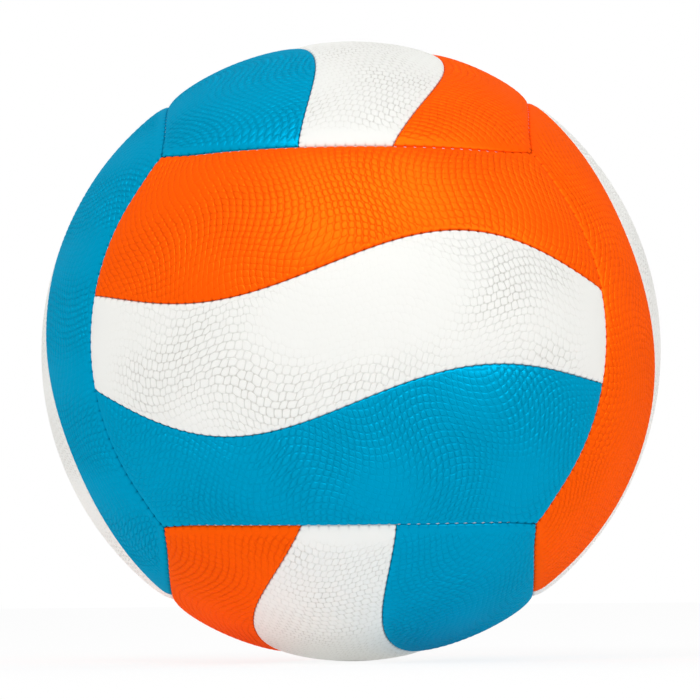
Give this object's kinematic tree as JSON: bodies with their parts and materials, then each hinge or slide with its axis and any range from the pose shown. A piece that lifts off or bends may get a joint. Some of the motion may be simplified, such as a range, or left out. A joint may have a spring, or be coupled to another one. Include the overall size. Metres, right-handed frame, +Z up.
{
  "type": "volleyball",
  "caption": "Round sewn ball of puffed strips with S-shaped seams in orange, white and blue, over a rubber bladder with a needle valve.",
  "frame": {"origin": "centre of the ball", "axes": "+Z up, -Y out of the middle of the front group, whose strips run along X, +Y out of the needle valve"},
  "size_m": [0.2134, 0.2134, 0.2134],
  "materials": {
    "orange_cover": "embossed soft synthetic leather, satin",
    "white_cover": "embossed soft synthetic leather, satin",
    "blue_cover": "embossed soft synthetic leather, satin",
    "foam": "closed-cell foam",
    "lining": "woven cotton and polyester",
    "thread": "bonded polyester thread",
    "bladder_rubber": "smooth butyl rubber",
    "valve_rubber": "smooth moulded rubber"
  },
  "bodies": {
    "root": {"front_orange_panel": "orange_cover", "front_white_panel": "white_cover", "front_blue_panel": "blue_cover", "right_orange_panel": "orange_cover", "right_white_panel": "white_cover", "right_blue_panel": "blue_cover", "top_orange_panel": "orange_cover", "top_white_panel": "white_cover", "top_blue_panel": "blue_cover", "back_orange_panel": "orange_cover", "back_white_panel": "white_cover", "back_blue_panel": "blue_cover", "left_orange_panel": "orange_cover", "left_white_panel": "white_cover", "left_blue_panel": "blue_cover", "bottom_orange_panel": "orange_cover", "bottom_white_panel": "white_cover", "bottom_blue_panel": "blue_cover", "front_orange_foam": "foam", "front_white_foam": "foam", "front_blue_foam": "foam", "right_orange_foam": "foam", "right_white_foam": "foam", "right_blue_foam": "foam", "top_orange_foam": "foam", "top_white_foam": "foam", "top_blue_foam": "foam", "back_orange_foam": "foam", "back_white_foam": "foam", "back_blue_foam": "foam", "left_orange_foam": "foam", "left_white_foam": "foam", "left_blue_foam": "foam", "bottom_orange_foam": "foam", "bottom_white_foam": "foam", "bottom_blue_foam": "foam", "front_linings": "lining", "right_linings": "lining", "top_linings": "lining", "back_linings": "lining", "left_linings": "lining", "bottom_linings": "lining", "front_seam_threads": "thread", "right_seam_threads": "thread", "top_seam_threads": "thread", "back_seam_threads": "thread", "left_seam_threads": "thread", "bottom_seam_threads": "thread", "bladder": "bladder_rubber", "valve_housing": "valve_rubber", "valve_core": "valve_rubber"}
  },
  "joints": []
}
